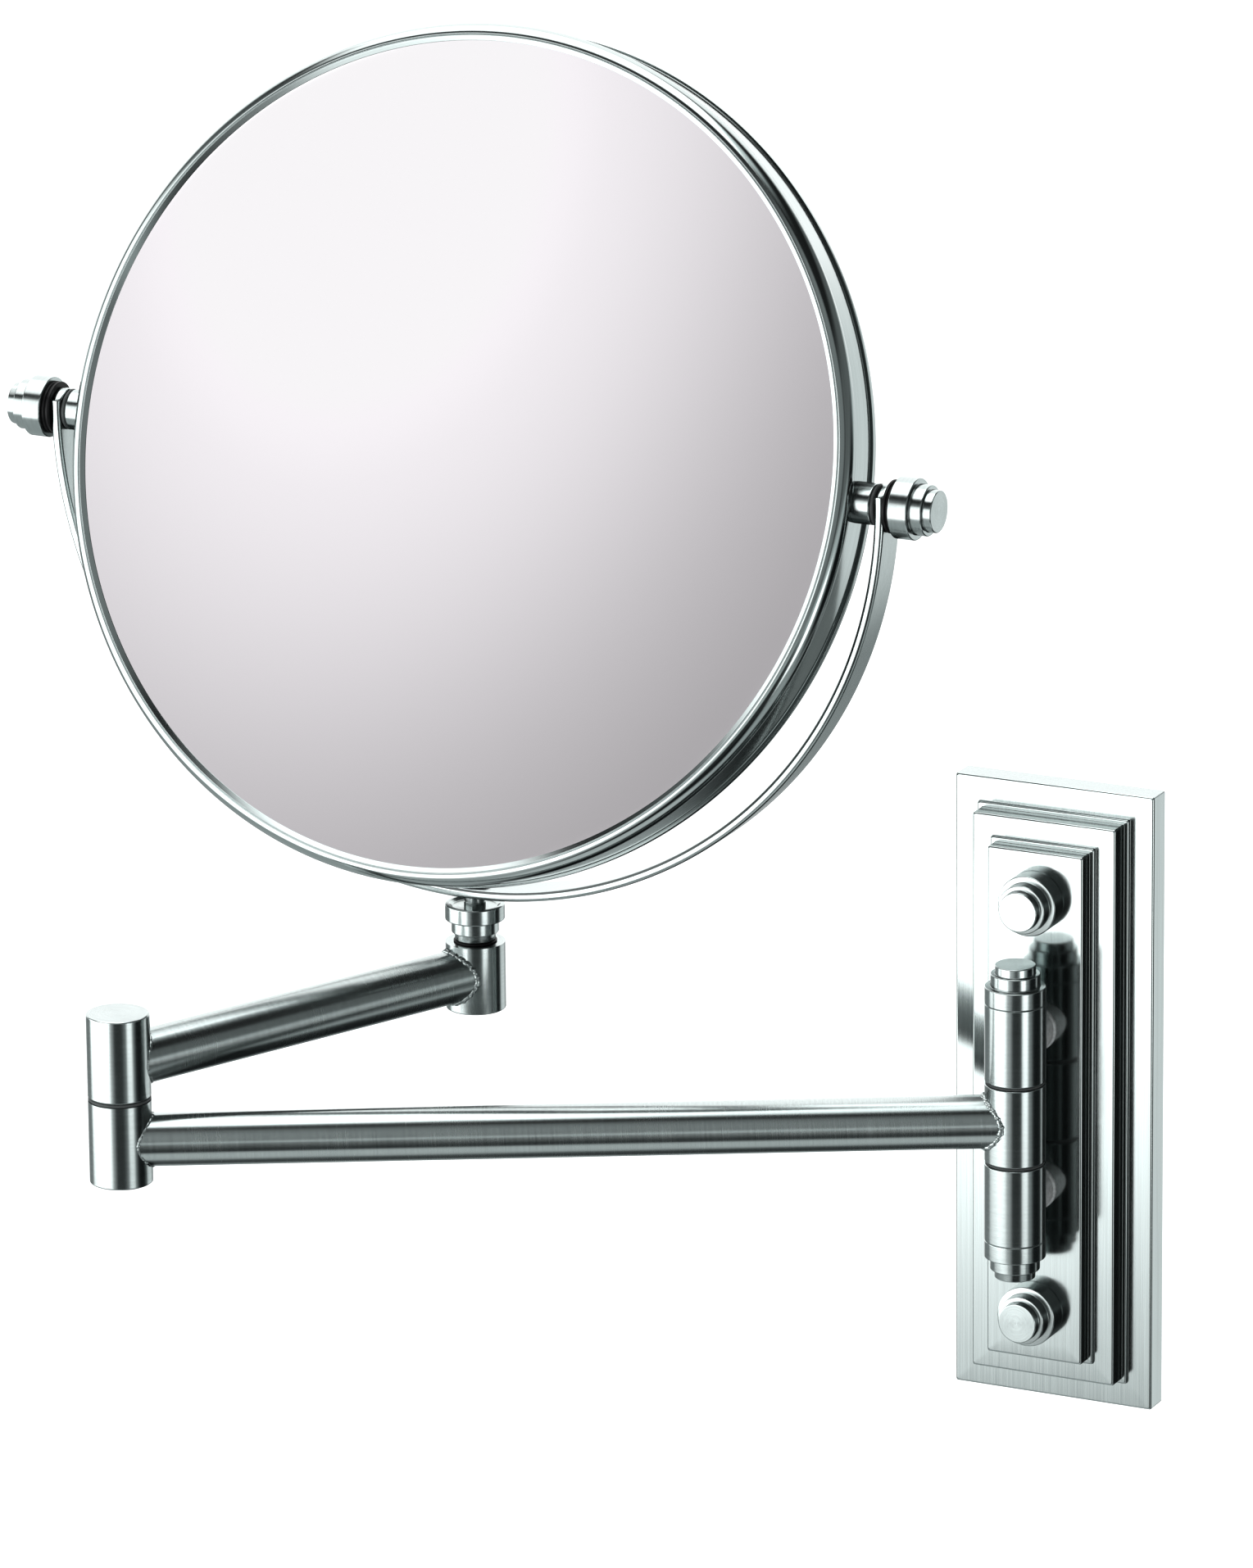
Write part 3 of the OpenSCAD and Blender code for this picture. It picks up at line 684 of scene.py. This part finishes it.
def build_arms():
    elbow_r = half_width("elbow_lower_barrel")
    wall_r = half_width("wall_barrel")
    end_r = half_width("end_barrel")
    lower = build_tube("Lower_tube", "lower_arm_tube", Vector((ELBOW.x, ELBOW.y, 0)),
                       Vector((HINGE.x, HINGE.y, 0)), elbow_r, wall_r, "lower_arm")
    build_weld("Weld_at_wall_barrel", lower, True, wall_r, "lower_arm", WELD_R, 1.3)
    build_weld("Weld_at_lower_elbow", lower, False, elbow_r, "lower_arm", ELBOW_WELD_R, 0.4)
    start_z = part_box("elbow_upper_barrel")[0].z + ELBOW_RISE * MM
    end_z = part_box("end_barrel")[1].z - END_DROP * MM
    upper = build_tube("Upper_tube", "upper_arm_tube", Vector((ELBOW.x, ELBOW.y, start_z)),
                       Vector((SWIVEL.x, SWIVEL.y, end_z)), elbow_r, end_r, "upper_arm")
    build_weld("Weld_at_end_barrel", upper, True, end_r, "upper_arm", END_WELD_R, 2.1)
    build_weld("Weld_at_upper_elbow", upper, False, elbow_r, "upper_arm", ELBOW_WELD_R, 3.0)

    recessed_barrel("Elbow_lower_barrel", "elbow_lower_barrel", ELBOW, ELBOW_BUSH_BORE,
                    ELBOW_RECESS, 0.4, "lower_arm")
    tall = height("elbow_upper_barrel")
    outline = [(0, ELBOW_PIN_TOP), (ELBOW_PIN_R, ELBOW_PIN_TOP), (ELBOW_PIN_R, 0),
               (elbow_r, 0, 0.3), (elbow_r, tall, 0.45), (0, tall)]
    turned_upright("Elbow_upper_barrel", "elbow_upper_barrel", ELBOW, outline, "upper_arm",
                   TURNED)
    recessed_barrel("End_barrel", "end_barrel", SWIVEL, END_BUSH_BORE, END_RECESS, 0.35,
                    "upper_arm")
    build_upright_screw("Elbow_cap_screw", "elbow_screw", ELBOW, DOWN, "upper_arm",
                        ELBOW_SCREW)


build_arms()


# ---------------------------------------------------------------- swivel and yoke

COLLAR_BORE = 2.62
COLLAR_R = (4.85, 5.7, 7.2)
COLLAR_TOPS = (1.9, 5.1, 8.95)
DISH_R = (6.2, 5.4)                 # mouth and floor of the hollow in the collar's top
DISH_DEEP = 0.7
STEM_R = 2.6
STEM_NECK = 2.45
NECK_FROM, NECK_TO = 0.4, 0.6       # ends of its taper, from the collar's top or the stem's
RING_BORE = 2.65
YOKE_TIP_R = 5.0
YOKE_T = 2.4
YOKE_CORNER = 0.9
YOKE_CORNER_STEPS = 6
YOKE_SWEEP = 150
YOKE_TIP_STEPS = 10
YOKE_TIP_LEAST = 0.02               # half-width left at the very tip

DRUM_R = 101.0
BOSS_R = 4.9
BOSS_SINK = 0.15                    # into the drum
BOSS_HOLE = (2.1, 0.8)              # radius and depth
WASHER_BORE = 2.05
WASHER_T = 1.9
WASHER_GROOVE = (0.5, 0.3)          # depth and half its width


def build_swivel():
    foot, middle, brim = COLLAR_R
    low_step, high_step, top = COLLAR_TOPS
    mouth, floor = DISH_R
    outline = [(COLLAR_BORE, 0), (foot, 0, 0.3), (foot, low_step, 0.1),
               (middle, low_step, 0.3), (middle, high_step, 0.1), (brim, high_step, 0.35),
               (brim, top, 0.3), (mouth, top, 0.1), (floor, top - DISH_DEEP, 0.3),
               (COLLAR_BORE, top - DISH_DEEP)]
    turned_upright("Swivel_collar", "swivel_collar", SWIVEL, outline, "yoke", TURNED,
                   closed=True)

    tall = height("swivel_stem")
    shoulder = (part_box("swivel_collar")[1].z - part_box("swivel_stem")[0].z) / MM
    outline = [(0, 0), (STEM_R, 0, 0.2), (STEM_R, shoulder + NECK_FROM, 0.1),
               (STEM_NECK, shoulder + NECK_TO, 0.1), (STEM_NECK, tall - NECK_TO, 0.1),
               (STEM_R, tall - NECK_FROM, 0.1), (STEM_R, tall), (0, tall)]
    turned_upright("Swivel_stem", "swivel_stem", SWIVEL, outline, "yoke", TURNED)

    radius = half_width("swivel_ring")
    tall = height("swivel_ring")
    outline = [(RING_BORE, 0), (radius, 0, 0.3), (radius, tall, 0.3), (RING_BORE, tall)]
    turned_upright("Swivel_ring", "swivel_ring", SWIVEL, outline, "upper_arm", RUBBER,
                   closed=True)
    build_upright_screw("Stem_cap_screw", "stem_screw", SWIVEL, DOWN, "yoke", STEM_SCREW)
    build_upright_screw("Yoke_cap_screw", "yoke_screw", SWIVEL, UP, "yoke", YOKE_SCREW)


def yoke_section(mean, half):
    """Rounded rectangle of (radius, y) points, half wide to either side of the band's middle."""
    corner = min(YOKE_CORNER, half * 0.9)
    outline = []
    for sr, sw, first in ((1, 1, 0), (-1, 1, 90), (-1, -1, 180), (1, -1, 270)):
        for s in range(YOKE_CORNER_STEPS + 1):
            b = math.radians(first + 90 * s / YOKE_CORNER_STEPS)
            outline.append((mean + sr * (YOKE_T / 2 - corner) + corner * math.cos(b),
                            sw * (half - corner) + corner * math.sin(b)))
    return outline


def build_yoke_band():
    """Half-round band swept about its own centre, its two tips rounded about the tilt axis."""
    low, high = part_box("yoke_band")
    outer = half_width("yoke_band")
    ring_up = outer - (TILT.z - low.z) / MM
    mean = outer - YOKE_T / 2
    tips = []
    for k in range(1, YOKE_TIP_STEPS + 1):
        rise = YOKE_TIP_R * math.sin(math.radians(90 * k / YOKE_TIP_STEPS))
        tips.append((math.pi / 2 + math.asin((rise - ring_up) / mean),
                     math.sqrt(max(YOKE_TIP_R ** 2 - rise ** 2, YOKE_TIP_LEAST ** 2))))
    first = -math.pi / 2 - math.asin(ring_up / mean)
    width = (high.y - low.y) / 2 / MM
    stations = [(-angle, half) for angle, half in tips[::-1]]
    stations += [(first * (1 - 2 * k / YOKE_SWEEP), width) for k in range(YOKE_SWEEP + 1)]
    stations += tips
    bm = bmesh.new()
    rings = [[bm.verts.new((math.sin(angle) * r * MM, w * MM,
                            (ring_up - math.cos(angle) * r) * MM))
              for r, w in yoke_section(mean, half)]
             for angle, half in stations]
    skin(bm, rings)
    bm.faces.new(rings[0])
    bm.faces.new(rings[-1])
    made = finish_mesh("Yoke_band", bm, "yoke", YOKE, Matrix.Translation(TILT))
    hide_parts("yoke_band")


def build_pivots():
    """Bosses on the drum, washers outside the band, knobs."""
    length = half_width("pivot_bosses") - DRUM_R + BOSS_SINK
    hole_r, hole_deep = BOSS_HOLE
    outline = [(0, 0), (BOSS_R, 0), (BOSS_R, length, 0.3), (hole_r, length),
               (hole_r, length - hole_deep), (0, length - hole_deep)]
    bosses = [turned(f"Pivot_boss_{side}", outline, TILT + axis * (DRUM_R - BOSS_SINK) * MM,
                     axis, "mirror_head", TURNED, around=96)
              for side, axis in SIDES.items()]
    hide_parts("pivot_bosses")

    washer_out = half_width("outer_pivot_washers")
    radius = height("outer_pivot_washers") / 2
    middle = WASHER_T / 2
    deep, wide = WASHER_GROOVE
    outline = [(WASHER_BORE, 0), (radius, 0, 0.25), (radius, middle - wide, 0.15),
               (radius - deep, middle, 0.1), (radius, middle + wide, 0.15),
               (radius, WASHER_T, 0.25), (WASHER_BORE, WASHER_T)]
    washers = [turned(f"Knob_washer_{side}", outline, TILT + axis * (washer_out - WASHER_T) * MM,
                      axis, "yoke", RUBBER, closed=True)
               for side, axis in SIDES.items()]
    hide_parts("outer_pivot_washers")

    for side, axis in SIDES.items():
        knob = turned(f"Tilt_knob_{side}", tier_outline(KNOB_TIERS, SOFT_EDGE),
                      TILT + axis * washer_out * MM, axis, f"{side}_tilt_knob", TURNED)
        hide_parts(f"{side}_knob")


build_swivel()
build_yoke_band()
build_pivots()


# ---------------------------------------------------------------- mirror head

# Radii, and heights from the drum's middle to one side
RIM_R = 101.6
RIM_CREST = 98.8
RIM_Z = 9.0
RIM_SHOULDER = 5.6                  # foot of the quarter round
RIM_FOOT = 5.0
SPIGOT_R = 99.75                    # part of the rim inside the band
SPIGOT_FOOT = 3.0
SEAT_R = 98.62
GLASS_R = 98.6
GLASS_SHOW = 97.3
GLASS_Z = 8.2
GLASS_T = 3
BAND_INNER = 99.8
BAND_Z = 5
BAND_LIP = 0.6                      # width of the raised lip on either side
BAND_SINK = 0.12                    # how far the band lies below its lips
MAGNIFIER_R = 1000.0
MAGNIFIER_ROWS = 40
AROUND = 320


def rim_outline():
    """Bevelled lip over the glass, fine groove, then an elliptic quarter round to the drum."""
    arc = [(RIM_CREST + (RIM_R - RIM_CREST) * math.cos(math.radians(a)),
            RIM_SHOULDER + (RIM_Z - RIM_SHOULDER) * math.sin(math.radians(a)))
           for a in range(85, -1, -5)]
    return ([(GLASS_SHOW, GLASS_Z + 0.02), (GLASS_SHOW + 0.04, GLASS_Z + 0.12, 0.05),
             (RIM_CREST - 0.3, RIM_Z - 0.06, 0.1),
             (RIM_CREST - 0.14, RIM_Z - 0.42, 0.08), (RIM_CREST + 0.05, RIM_Z - 0.03, 0.1)]
            + arc + [(RIM_R - 0.1, RIM_FOOT, 0.05), (SPIGOT_R, RIM_FOOT),
                     (SPIGOT_R, SPIGOT_FOOT), (SEAT_R, SPIGOT_FOOT), (SEAT_R, GLASS_Z)])


def band_outline():
    """Drum band with a raised lip along either edge."""
    below = [(BAND_INNER, -BAND_Z), (DRUM_R, -BAND_Z, 0.15), (DRUM_R, BAND_LIP - BAND_Z, 0.1),
             (DRUM_R - BAND_SINK, BAND_LIP + 0.2 - BAND_Z, 0.1)]
    return below + [(point[0], -point[1], *point[2:]) for point in below[::-1]]


def magnifier_outline():
    """Concave glass of one thickness, its edge at the front glass's height."""
    def drop(r):
        """How far the sphere falls away at a radius."""
        return MAGNIFIER_R - math.sqrt(MAGNIFIER_R ** 2 - r * r)

    hollow = []
    for k in range(MAGNIFIER_ROWS + 1):
        r = GLASS_R * k / MAGNIFIER_ROWS
        hollow.append((r, GLASS_Z - (drop(GLASS_R) - drop(r))))
    return [(r, z - GLASS_T) for r, z in hollow] + hollow[::-1]


def turned_head(name, outline, normal, material, closed=False):
    """Turned piece about the mirror's axis that replaces the CAD node of its own name."""
    made = turned(name, outline, TILT, normal, "mirror_head", material, around=AROUND,
                  closed=closed)
    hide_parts(name.lower())


def build_mirror_head():
    turned_head("Front_rim", rim_outline(), GLASS_NORMAL, RIM, closed=True)
    turned_head("Rear_rim", rim_outline(), -GLASS_NORMAL, RIM, closed=True)
    turned_head("Drum_band", band_outline(), GLASS_NORMAL, RIM, closed=True)
    flat = [(0, GLASS_Z - GLASS_T), (GLASS_R, GLASS_Z - GLASS_T, 0.2),
            (GLASS_R, GLASS_Z - 0.5, 0.1), (GLASS_R - 0.5, GLASS_Z, 0.1), (0, GLASS_Z)]
    turned_head("Front_glass", flat, GLASS_NORMAL, FRONT_SILVER)
    turned_head("Magnifying_glass", magnifier_outline(), -GLASS_NORMAL, REAR_SILVER)


build_mirror_head()


# ---------------------------------------------------------------- camera

CAMERA_AT = Vector((0.943, -2.169, 0.796))
CAMERA_TURN = math.radians(26.0)    # round from straight in front, to the right
CAMERA_DOWN = math.radians(16.952)
CAMERA_ROLL = math.radians(-0.565)
LENS = 301.7


def build_camera():
    data = bpy.data.cameras.new("Camera")
    data.sensor_fit = "HORIZONTAL"
    data.sensor_width = 36
    data.lens = LENS
    data.clip_end = 50
    camera = bpy.data.objects.new("Camera", data)
    camera.matrix_world = (Matrix.Translation(CAMERA_AT) @ Matrix.Rotation(CAMERA_TURN, 4, "Z")
                           @ Matrix.Rotation(math.pi / 2 - CAMERA_DOWN, 4, "X")
                           @ Matrix.Rotation(CAMERA_ROLL, 4, "Z"))
    bpy.context.scene.collection.objects.link(camera)
    bpy.context.scene.camera = camera


build_camera()


# ---------------------------------------------------------------- studio

FLOOR_Z = -0.62
FLOOR_HALF = 9.0
WHITE = (1, 1, 1, 1)
DEEP_FROM, DEEP_TO = 2.4, 2.6       # a light's ray depth is 2 in one reflection, 3 in two
SOFTBOX_AIM = Vector((-0.1, -0.05, 0.06))

# Turn and lift from the camera, distance, width and height in metres, radiance of the
# middle, share of the width that fades, share left in a reflection of a reflection
SOFTBOXES = {
    "Left_softbox": (-72, 2, 1.1, 2.3, 1.4, 1.5, 0.16, 0.8),
    "Right_softbox": (38, -12, 1.15, 0.6, 0.58, 1.7, 0.3, 0.15),
    "Top_softbox": (-115, 74, 1.0, 1.1, 1.2, 1.6, 0.15, 0.6),
}

# Backdrop all round: sine of the height and level
WORLD_LEVELS = ((-1.0, 0.45), (-0.72, 0.5), (-0.60, 0.46), (-0.46, 0.36), (-0.28, 0.28),
                (-0.2, 0.35), (-0.12, 0.6), (0.03, 0.6), (0.14, 0.22), (0.5, 0.18),
                (0.64, 0.03), (0.84, 0.03), (0.9, 0.15), (0.95, 0.9), (1.0, 1.0))
WORLD_TINT = (0.93, 1, 1)
WORLD_DEEP = 0.25
DARK = (0.012, 0.015, 0.016, 1)
GAP = (0.05, 0.055, 0.055, 1)
# Flags and cards on it: turn, lift, inner and outer angle, colour
LOBES = (
    (0, -34, 16, 32, DARK),
    (85, -13, 14, 28, DARK),
    (-45, -12, 12, 36, (0.6, 0.62, 0.62, 1)),
    (3, -17, 7, 17, GAP),
    (6, 22, 10, 28, GAP),
    (-4, 27, 14, 30, (0.3, 0.32, 0.32, 1)),
    (0, -66, 16, 26, (0.62, 0.65, 0.65, 1)),
    (128, -10, 10, 24, (0.85, 0.88, 0.88, 1)),
    (180, 20, 32, 50, (1.3, 1.3, 1.3, 1)),
    (125, -62, 22, 34, DARK),
)

CARD_AWAY = 0.3                     # metres from the glass
CARD_RADII = (0.0995, 0.1105)
CARD_SHIFT = 0.005
CARD_AROUND = 96
GLOW_AT = (-0.04, 0.049, 0)
GLOW_SQUEEZE = (1, 0.7, 1)
GLOW_LEVELS = ((0.0, 1.03), (0.046, 1.02), (0.061, 0.97), (0.091, 0.84), (0.121, 0.65),
               (0.151, 0.52), (0.2, 0.42))
GLOW_TINT = (1, 0.985, 1)


def towards(turn, lift):
    """Direction from the object, turn degrees right of the camera and lift degrees up."""
    a = CAMERA_TURN + math.radians(turn)
    e = math.radians(lift)
    return Vector((math.sin(a) * math.cos(e), -math.cos(a) * math.cos(e), math.sin(e)))


def deep_dim(tree, keep):
    """1 for light seen directly or in one reflection, keep in a reflection of a reflection."""
    path = node(tree, "ShaderNodeLightPath")
    return map_range(tree, path.outputs["Ray Depth"], (DEEP_FROM, DEEP_TO), (1, keep))


def product(tree, a, b):
    made = node(tree, "ShaderNodeMath", operation="MULTIPLY")
    tree.links.new(a, made.inputs[0])
    tree.links.new(b, made.inputs[1])
    return made.outputs[0]


def softbox(name, turn, lift, distance, width, tall, radiance, soft, keep):
    """Rectangular lamp whose glow fades towards its edges."""
    data = bpy.data.lights.new(name, "AREA")
    data.shape = "RECTANGLE"
    data.size = width
    data.size_y = tall
    data.energy = radiance * math.pi * width * tall
    light = bpy.data.objects.new(name, data)
    direction = towards(turn, lift)
    light.location = SOFTBOX_AIM + direction * distance
    light.rotation_euler = direction.to_track_quat("Z", "Y").to_euler()
    light.visible_camera = False
    bpy.context.scene.collection.objects.link(light)

    data.use_nodes = True
    tree = data.node_tree
    place = node(tree, "ShaderNodeNewGeometry")
    split = node(tree, "ShaderNodeSeparateXYZ")
    tree.links.new(place.outputs["Parametric"], split.inputs[0])
    fades = []
    for axis in "XY":
        off = node(tree, "ShaderNodeMath", operation="SUBTRACT")
        off.inputs[1].default_value = 0.5
        tree.links.new(split.outputs[axis], off.inputs[0])
        size = node(tree, "ShaderNodeMath", operation="ABSOLUTE")
        tree.links.new(off.outputs[0], size.inputs[0])
        fades.append(map_range(tree, size.outputs[0], (0.5, 0.5 - soft), (0, 1),
                               interpolation_type="SMOOTHSTEP"))
    strength = product(tree, product(tree, *fades), deep_dim(tree, keep))
    tree.links.new(strength, tree.nodes["Emission"].inputs["Strength"])


def flat_sheet(name, corners):
    """Object of one flat face."""
    bm = bmesh.new()
    bm.faces.new([bm.verts.new(corner) for corner in corners])
    mesh = bpy.data.meshes.new(name)
    bm.to_mesh(mesh)
    bm.free()
    sheet = bpy.data.objects.new(name, mesh)
    bpy.context.scene.collection.objects.link(sheet)
    return sheet


def build_floor():
    floor = flat_sheet("Floor", [(x * FLOOR_HALF, y * FLOOR_HALF, FLOOR_Z)
                                 for x, y in ((-1, -1), (1, -1), (1, 1), (-1, 1))])
    material, tree, shader = new_material("Floor_paper")
    fibre = object_noise(tree, Scale=3.0, Detail=2.0)
    tree.links.new(map_range(tree, fibre, (0, 1), (0.9, 0.94)), shader.inputs["Base Color"])
    shader.inputs["Roughness"].default_value = 0.9
    shader.inputs["Specular IOR Level"].default_value = 0.0
    shader.inputs["Emission Color"].default_value = WHITE
    shader.inputs["Emission Strength"].default_value = 0.8
    floor.data.materials.append(material)
    floor.visible_glossy = False


def build_world():
    """Studio round the object: pale backdrop behind, greys in front, seen in the metal."""
    world = bpy.data.worlds.new("Studio")
    world.use_nodes = True
    tree = world.node_tree
    tree.nodes.clear()
    out = node(tree, "ShaderNodeOutputWorld")
    coord = node(tree, "ShaderNodeTexCoord")
    split = node(tree, "ShaderNodeSeparateXYZ")
    tree.links.new(coord.outputs["Generated"], split.inputs[0])
    ramp = node(tree, "ShaderNodeValToRGB")
    fill_ramp(ramp.color_ramp, [((z + 1) / 2, level) for z, level in WORLD_LEVELS], WORLD_TINT)
    tree.links.new(map_range(tree, split.outputs["Z"], (-1, 1), (0, 1)), ramp.inputs["Fac"])

    shade = ramp.outputs["Color"]
    for turn, lift, inner, outer, colour in LOBES:
        dot = node(tree, "ShaderNodeVectorMath", operation="DOT_PRODUCT")
        dot.inputs[1].default_value = towards(turn, lift)
        tree.links.new(coord.outputs["Generated"], dot.inputs[0])
        cone = map_range(tree, dot.outputs["Value"],
                         (math.cos(math.radians(outer)), math.cos(math.radians(inner))),
                         (0, 1), interpolation_type="SMOOTHSTEP")
        mix = node(tree, "ShaderNodeMix", data_type="RGBA")
        tree.links.new(cone, mix.inputs["Factor"])
        tree.links.new(shade, mix.inputs["A"])
        mix.inputs["B"].default_value = colour
        shade = mix.outputs["Result"]
    studio = node(tree, "ShaderNodeBackground")
    tree.links.new(deep_dim(tree, WORLD_DEEP), studio.inputs["Strength"])
    tree.links.new(shade, studio.inputs["Color"])
    paper = node(tree, "ShaderNodeBackground", Strength=1.0)
    paper.inputs["Color"].default_value = WHITE
    path = node(tree, "ShaderNodeLightPath")
    pick = node(tree, "ShaderNodeMixShader")
    tree.links.new(path.outputs["Is Camera Ray"], pick.inputs["Fac"])
    tree.links.new(studio.outputs[0], pick.inputs[1])
    tree.links.new(paper.outputs[0], pick.inputs[2])
    tree.links.new(pick.outputs[0], out.inputs["Surface"])
    bpy.context.scene.world = world


def build_glow_card():
    """Card whose glow the front glass shows: bright upper left, falling off softly."""
    wide, tall = CARD_RADII
    turns = [math.tau * k / CARD_AROUND for k in range(CARD_AROUND)]
    card = flat_sheet("Glow_card", [(CARD_SHIFT + wide * math.cos(a), tall * math.sin(a), 0)
                                    for a in turns])
    view = (TILT - CAMERA_AT).normalized()
    bounce = view - 2 * view.dot(GLASS_NORMAL) * GLASS_NORMAL
    turn = bounce.to_track_quat("Z", "Y")
    card.matrix_world = (Matrix.Translation(TILT + bounce * CARD_AWAY)
                         @ turn.to_matrix().to_4x4())
    card.visible_camera = False

    material = bpy.data.materials.new("Glow_card")
    material.use_nodes = True
    tree = material.node_tree
    tree.nodes.clear()
    out = node(tree, "ShaderNodeOutputMaterial")
    coord = node(tree, "ShaderNodeTexCoord")
    squeeze = node(tree, "ShaderNodeVectorMath", operation="MULTIPLY")
    squeeze.inputs[1].default_value = GLOW_SQUEEZE
    tree.links.new(coord.outputs["Object"], squeeze.inputs[0])
    offset = node(tree, "ShaderNodeVectorMath", operation="DISTANCE")
    offset.inputs[1].default_value = GLOW_AT
    tree.links.new(squeeze.outputs[0], offset.inputs[0])
    fall = node(tree, "ShaderNodeValToRGB")
    fall.color_ramp.interpolation = "B_SPLINE"
    fill_ramp(fall.color_ramp, GLOW_LEVELS, GLOW_TINT)
    tree.links.new(offset.outputs["Value"], fall.inputs["Fac"])
    glow = node(tree, "ShaderNodeEmission", Strength=1.0)
    tree.links.new(fall.outputs["Color"], glow.inputs["Color"])
    tree.links.new(glow.outputs[0], out.inputs["Surface"])
    card.data.materials.append(material)


build_floor()
build_world()
build_glow_card()
for label, setting in SOFTBOXES.items():
    softbox(label, *setting)
bpy.context.scene.view_settings.view_transform = "Standard"
bpy.context.scene.view_settings.gamma = 0.8

bpy.context.view_layer.update()
